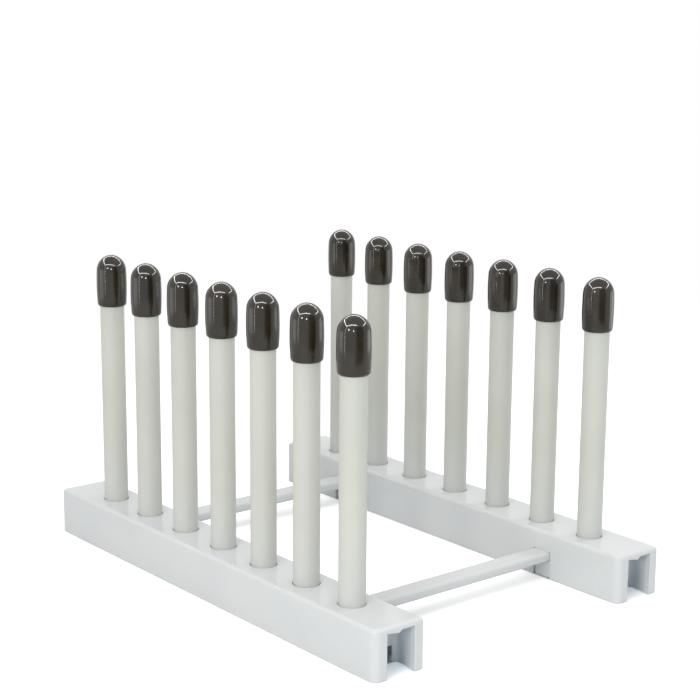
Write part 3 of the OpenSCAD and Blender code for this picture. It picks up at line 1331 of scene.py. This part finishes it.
@dataclass
class SoftCap:
    """A dipped cap with a rounded rim, a slightly bulging side and a blunt dome."""

    low: Vector
    high: Vector
    post_radius: float
    bore_gap: float = 0.05 * MM
    ledge: float = 0.85 * MM
    dome_height: float = 5.2 * MM
    tip_wall: float = 1.5 * MM
    rim_height: float = 1.1 * MM
    draw_in: float = 0.26 * MM
    widest: float = 0.42
    bluntness: float = 1.04
    rim_start: int = 2
    tip_share: float = 0.25
    smooth_angle: float = math.radians(50)
    steps: int = 10
    sides: int = 72

    def outline(self) -> list[Ring]:
        """Work out the outline, from the air space inside to the tip outside.

        Returns:
            Radius and height of each ring, heights measured from the rim.
        """
        radius = (self.high.x - self.low.x) / 2
        total = self.high.z - self.low.z
        shoulder = total - self.dome_height
        bore = self.post_radius + self.bore_gap
        space, space_height = bore - self.ledge, self.dome_height - self.tip_wall
        quarter = [math.pi / 2 * step / self.steps for step in range(self.steps + 1)]
        inside = [
            (space * math.cos(angle), shoulder + space_height * math.sin(angle))
            for angle in reversed(quarter[:-1])
        ]
        inside += [(bore, shoulder), (bore, 0.0)]

        def side(height: float) -> float:
            """Radius of the bulging side at a height."""
            away = (height - self.widest * total) / (self.widest * total)
            return radius - self.draw_in * away**2

        rim_radius = side(self.rim_height)
        lip = rim_radius - bore
        rim = [
            (bore + lip * math.sin(angle), self.rim_height * (1 - math.cos(angle)))
            for angle in quarter[self.rim_start:]
        ]
        straight = [
            self.rim_height + (shoulder - self.rim_height) * step / self.steps
            for step in range(1, self.steps + 1)
        ]
        wall = [(side(height), height) for height in straight]
        dome = [
            (
                side(shoulder) * math.cos(angle) ** self.bluntness,
                shoulder + self.dome_height * math.sin(angle),
            )
            for angle in quarter[1:-1]
        ]
        tip = (dome[-1][0] * self.tip_share, total)
        return inside + rim + wall + dome + [tip]

    def build(self, name: str) -> Piece:
        """Model the cap in its place.

        Args:
            name: Name of the piece.

        Returns:
            The cap, smooth shaded and closed.
        """
        rings = self.outline()
        cap = turned_solid(name, rings, self.sides)
        close_pole(cap, rings[-1][1])
        middle = (self.low + self.high) / 2
        moved(cap, (middle.x, middle.y, self.low.z))
        face_outwards(cap)
        smooth(cap, self.smooth_angle)
        return cap


# The studio


@dataclass(frozen=True)
class Viewpoint:
    """The photograph's viewing angle, as fitted with the stand's modelled sizes."""

    azimuth: float = math.radians(-39.297)
    elevation: float = math.radians(12.345)
    roll: float = math.radians(0.428)
    distance: float = 554.24 * MM
    aim_height: float = 45 * MM
    slide_right: float = 1.295 * MM
    slide_up: float = 26.141 * MM
    lens: float = 86.913
    sensor: float = 36.0
    nearest: float = 10 * MM

    def build(self) -> None:
        """Set the scene's camera."""
        sin_a, cos_a = math.sin(self.azimuth), math.cos(self.azimuth)
        sin_e, cos_e = math.sin(self.elevation), math.cos(self.elevation)
        back = Vector((sin_a * cos_e, -cos_a * cos_e, sin_e))
        level = Vector((cos_a, sin_a, 0))
        upward = back.cross(level)
        right = math.cos(self.roll) * level + math.sin(self.roll) * upward
        top = -math.sin(self.roll) * level + math.cos(self.roll) * upward
        place = Vector((0, 0, self.aim_height)) + self.distance * back
        place += self.slide_right * right + self.slide_up * top
        data = bpy.data.cameras.new("photo_view")
        data.lens, data.sensor_width = self.lens, self.sensor
        data.clip_start = self.nearest
        camera = bpy.data.objects.new("photo_view", data)
        bpy.context.scene.collection.objects.link(camera)
        turn = Matrix((right, top, back)).transposed()
        camera.matrix_world = Matrix.Translation(place) @ turn.to_4x4()
        bpy.context.scene.camera = camera


class Role(Enum):
    """What a lamp is for."""

    FILL = "soft light on matt colour alone"
    GLINT = "a bright shape that the caps alone mirror"


@dataclass(frozen=True)
class AreaLamp:
    """A flat lamp that shines from one place towards another and isn't seen itself."""

    name: str
    role: Role
    place: tuple[float, float, float]
    aim: tuple[float, float, float]
    size: tuple[float, float]
    power: float
    tone: Colour = WHITE

    def build(self, caps: bpy.types.Collection) -> bpy.types.Object:
        """Make the lamp.

        Args:
            caps: The caps, which alone receive a glint.

        Returns:
            The lamp.
        """
        data = bpy.data.lights.new(self.name, "AREA")
        data.shape = "RECTANGLE"
        data.size, data.size_y = self.size
        data.energy, data.color = self.power, self.tone
        lamp = bpy.data.objects.new(self.name, data)
        bpy.context.scene.collection.objects.link(lamp)
        heading = (Vector(self.aim) - Vector(self.place)).to_track_quat("-Z", "Y")
        lamp.matrix_world = Matrix.Translation(self.place) @ heading.to_matrix().to_4x4()
        lamp.visible_camera = False
        lamp.visible_diffuse = self.role is Role.FILL
        lamp.visible_glossy = self.role is not Role.FILL
        if self.role is Role.GLINT:
            lamp.light_linking.receiver_collection = caps
        return lamp


@dataclass(frozen=True)
class DimScreen:
    """A curved screen, dimmer than the surroundings, that gloss alone mirrors."""

    middle: float = math.radians(-8)
    half_angle: float = math.radians(34)
    radius: float = 0.36
    height: float = 0.42
    tone: float = 0.15
    plain_angle: float = math.radians(8.5)
    plain_height: float = 0.252
    sides: int = 72

    def build(self) -> None:
        """Stand the screen on the floor, round the stand's middle."""
        clear_selection()
        bpy.ops.mesh.primitive_cylinder_add(
            vertices=self.sides,
            radius=self.radius,
            depth=self.height,
            end_fill_type="NOTHING",
            location=(0, 0, self.height / 2),
        )
        screen = settle(named(bpy.context.active_object, "dim_screen"))
        toward = Vector((math.sin(self.middle), -math.cos(self.middle)))

        def is_outside(point: Vector) -> bool:
            """Tell whether a face's middle lies outside the screen's sector."""
            return point.xy.normalized().dot(toward) < math.cos(self.half_angle)

        pick(screen, Part.FACE, is_outside)
        bpy.ops.mesh.delete(type="FACE")
        bpy.ops.object.mode_set(mode="OBJECT")
        screen.data.materials.append(self.glow())
        screen.visible_camera = False
        screen.visible_diffuse = False
        screen.visible_shadow = False

    def glow(self) -> Material:
        """Build the screen's glow, dim in the middle and white at its edges.

        Returns:
            The material.
        """
        material, wiring, surface = new_material("screen_glow")
        turned = wiring.stretch(wiring.position(), (1.0, 1.0, 1.0), (0.0, 0.0, -self.middle))
        x, y, z = wiring.split(turned)
        away = wiring.math("ARCTAN2", x, wiring.math("MULTIPLY", y, -1.0))
        sideways = wiring.ramp(wiring.math("ABSOLUTE", away), (self.plain_angle, self.half_angle))
        upward = wiring.ramp(z, (self.plain_height, self.height))
        edge = wiring.math("MAXIMUM", sideways, upward)
        strength = wiring.ramp(edge, WHOLE, self.tone, 1.0)
        glow = wiring.add("ShaderNodeEmission", {"Color": opaque(WHITE), "Strength": strength})
        wiring.link(glow.outputs[0], surface)
        return material


@dataclass(frozen=True)
class Studio:
    """White surroundings, soft lamps, bright shapes that the caps mirror, and a dim screen."""

    floor_size: float = 60.0
    floor_cells: int = 8
    floor_gap: float = 0.02 * MM
    ambient: float = 0.55
    lamps: tuple[AreaLamp, ...] = (
        AreaLamp("left_soft", Role.FILL, (-0.62, -0.30, 0.30), (0, 0, 0.03), (0.2, 0.2), 1.45, WARM),
        AreaLamp("near_soft", Role.FILL, (-0.40, -0.30, 0.12), (0, -0.03, 0.03), (0.2, 0.2), 0.21),
        AreaLamp("front_soft", Role.FILL, (-0.02, -0.60, 0.14), (0, 0, 0.01), (0.2, 0.2), 0.24, COOL),
        AreaLamp("right_soft", Role.FILL, (0.60, -0.10, 0.40), (0, 0, 0.03), (0.2, 0.2), 1.1),
        AreaLamp("top_soft", Role.FILL, (0.0, 0.0, 0.90), (0, 0, 0), (0.90, 0.90), 3.5),
        AreaLamp("top_front_soft", Role.FILL, (-0.2, -0.3, 0.7), (0, 0, 0), (0.4, 0.4), 0.7),
        AreaLamp("spot_left", Role.GLINT, (-0.49, -0.17, 0.28), (0, -0.06, 0.1), (0.07, 0.07), 0.4),
        AreaLamp("spot_front", Role.GLINT, (-0.36, -0.42, 0.25), (0, -0.06, 0.1), (0.06, 0.06), 0.45),
        AreaLamp("upright_strip", Role.GLINT, (-0.44, 0.01, 0.22), (0, 0.01, 0.22), (0.014, 0.44), 0.19),
        AreaLamp("right_panel", Role.GLINT, (0.33, -0.19, 0.06), (0, 0, 0.06), (0.22, 0.12), 0.13),
        AreaLamp("left_panel", Role.GLINT, (-0.36, 0.20, 0.06), (0, 0, 0.06), (0.22, 0.12), 0.10),
    )
    frame_turn: float = math.radians(-45)
    frame_middle: tuple[float, float] = (0.10, 0.04)
    frame_half: tuple[float, float] = (0.80, 0.56)
    frame_height: float = 0.70
    strip_width: float = 0.08
    strip_power: float = 8.8
    dim_side: DimScreen = DimScreen()

    def build(self) -> None:
        """Make the floor, the world, the lamps and the dim side of the room."""
        self.floor()
        self.world()
        caps = self.collect_caps()
        for lamp in self.lamps:
            lamp.build(caps)
        self.light_frame(caps)
        self.dim_side.build()

    def collect_caps(self) -> bpy.types.Collection:
        """Gather the dressed caps in a collection of their own, for the glints, and return it."""
        caps = bpy.data.collections.new("caps_with_glints")
        for piece in bpy.context.scene.objects:
            if "_cap_" in piece.name and piece.name.endswith("_look"):
                caps.objects.link(piece)
        return caps

    def floor(self) -> None:
        """Lay the pale floor."""
        clear_selection()
        cells = {"x_subdivisions": self.floor_cells, "y_subdivisions": self.floor_cells}
        bpy.ops.mesh.primitive_grid_add(size=self.floor_size, **cells)
        floor = moved(named(bpy.context.active_object, "floor"), (0, 0, -self.floor_gap))
        low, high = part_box("left_rail")
        surface = PaleFloor(
            rail_centre=abs(low.x + high.x) / 2,
            rail_half_width=(high.x - low.x) / 2,
            rail_half_length=high.y,
        )
        floor.data.materials.append(surface.material("pale_floor"))

    def world(self) -> None:
        """Surround the scene with white, which lights surfaces about half as much as it shows."""
        world = bpy.data.worlds.new("white_surroundings")
        world.use_nodes = True
        world.node_tree.nodes.clear()
        wiring = Wiring(world.node_tree)
        rays = wiring.add("ShaderNodeLightPath").outputs
        kinds = ("Is Camera Ray", "Is Glossy Ray", "Is Transmission Ray")
        seen = wiring.chain("MAXIMUM", *(rays[kind] for kind in kinds))
        strength = wiring.ramp(seen, WHOLE, self.ambient, 1.0)
        sky = wiring.add("ShaderNodeBackground", {"Color": opaque(WHITE), "Strength": strength})
        wiring.link(sky.outputs[0], wiring.add("ShaderNodeOutputWorld").inputs["Surface"])
        bpy.context.scene.world = world

    def light_frame(self, caps: bpy.types.Collection) -> None:
        """Hang a rectangle of light strips over the stand, which the caps mirror."""
        turn = Matrix.Rotation(self.frame_turn, 3, "Z")
        middle = Vector((*self.frame_middle, self.frame_height))
        half_x, half_y = self.frame_half
        strips = {
            "front_strip": (0, -half_y),
            "back_strip": (0, half_y),
            "left_strip": (-half_x, 0),
            "right_strip": (half_x, 0),
        }
        for name, (x, y) in strips.items():
            place = turn @ (middle + Vector((x, y, 0)))
            length = 2 * (half_x if x == 0 else half_y)
            size = (length, self.strip_width) if x == 0 else (self.strip_width, length)
            power = self.strip_power * length / (2 * half_x)
            lamp = AreaLamp(name, Role.GLINT, tuple(place), (0, 0, 0), size, power).build(caps)
            lamp.matrix_world = Matrix.Translation(place) @ turn.to_4x4()


# Assembly


class Stand:
    """The whole stand: models each kind of piece once and sets the copies in place."""

    def __init__(self, frame: dict) -> None:
        """Read the frame's node names and start the shared effects."""
        self.nodes = frame["nodes"]
        self.effects = Effects()

    def post_count(self) -> int:
        """Count the posts of one rail."""
        return sum(name.startswith(Side.LEFT.value + "_post_") for name in self.nodes)

    def fit(self, piece: Piece, finish: Material) -> None:
        """Dress a piece that stands for the node of the same name.

        Args:
            piece: Finished piece, named after its node with the word look added.
            finish: Material of the piece.
        """
        node = piece.name.removesuffix("_look")
        piece.data.materials.clear()
        piece.data.materials.append(finish)
        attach(piece, "root")
        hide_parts(node)
        LOG.info("%s stands for %s, %d faces", piece.name, node, len(piece.data.polygons))

    def build_rails(self) -> None:
        """Model one rail and set it at both sides, one turned half round."""
        low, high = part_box("left_rail")
        first_low, first_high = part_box("left_post_1")
        second_low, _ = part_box("left_post_2")
        bar_low, bar_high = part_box("rear_cross_bar")
        bar = CrossBar(bar_low, bar_high, abs(high.x))
        size = high - low
        rail = ChannelRail(
            width=size.x,
            length=size.y,
            height=size.z,
            post_count=self.post_count(),
            post_pitch=second_low.y - first_low.y,
            post_radius=(first_high.x - first_low.x) / 2,
            seat_height=first_low.z,
            slot_centre=(bar_low.y + bar_high.y) / 2,
            slot_width=bar_high.y - bar_low.y - 2 * bar.flange_reach + 2 * bar.key_gap,
            slot_height=bar_high.z - bar.flange_reach,
        )
        left = rail.build("left_rail_look")
        right = half_turn(duplicate(left, "right_rail_look"))
        for piece, side in ((left, Side.LEFT), (right, Side.RIGHT)):
            low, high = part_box(side.value + "_rail")
            moved(piece, ((low.x + high.x) / 2, 0, 0))
            finish = MouldedPlastic(sink_pitch=rail.post_pitch)
            name = side.value + "_rail_plastic"
            self.fit(piece, finish.material(name, low, high, self.effects))

    def build_bars(self) -> None:
        """Model the front cross bar and copy it to the rear."""
        _, rail_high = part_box("left_rail")
        low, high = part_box("front_cross_bar")
        front = CrossBar(low, high, abs(rail_high.x)).build("front_cross_bar_look")
        rear = half_turn(duplicate(front, "rear_cross_bar_look"))
        for piece in (front, rear):
            node = piece.name.removesuffix("_look")
            low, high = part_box(node)
            finish = MouldedPlastic(
                light_tone=(0.620, 0.636, 0.634),
                dark_tone=(0.598, 0.615, 0.615),
                # Painted shade on the bar's underside and lower front
                painted_inner_lighting=(0.585, 0.603, 0.605),
                sink_depth=0.0,
                patch=18 * MM,
                roughness=0.34,
            )
            self.fit(piece, finish.material(node + "_plastic", low, high, self.effects))

    def build_posts(self) -> None:
        """Model the first post and copy it into every socket."""
        low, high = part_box("left_post_1")
        first = TubePost(low, high).build("left_post_1_look")
        finish = DrawnTube().material("post_tube", low, high, self.effects)
        self.spread(first, "post", finish)

    def build_caps(self) -> None:
        """Model the first cap and copy it onto every post."""
        low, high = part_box("left_cap_1")
        post_low, post_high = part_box("left_post_1")
        radius = (post_high.x - post_low.x) / 2
        first = SoftCap(low, high, radius).build("left_cap_1_look")
        finish = SoftVinyl().material("cap_vinyl", low, high, self.effects)
        self.spread(first, "cap", finish)

    def spread(self, first: Piece, kind: str, finish: Material) -> None:
        """Copy the first post or cap to all its places and dress them all.

        Args:
            first: The piece at the front of the left rail.
            kind: Middle word of the nodes' names.
            finish: Material of every piece.
        """
        start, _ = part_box(f"left_{kind}_1")
        copies = {}
        for side in Side:
            for number in range(1, self.post_count() + 1):
                node = f"{side.value}_{kind}_{number}"
                place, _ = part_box(node)
                if node == f"left_{kind}_1":
                    copies[node] = first
                    continue
                copies[node] = moved(duplicate(first, node + "_look"), place - start)
        for piece in copies.values():
            self.fit(piece, finish)


def main() -> None:
    """Load the frame, then build the stand and the studio around it."""
    logging.basicConfig(level=logging.INFO, format="%(message)s")
    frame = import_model()
    Viewpoint().build()
    stand = Stand(frame)
    stand.build_rails()
    stand.build_bars()
    stand.build_posts()
    stand.build_caps()
    Studio().build()
    bpy.context.scene.view_settings.view_transform = "Standard"


if __name__ == "__main__":
    main()
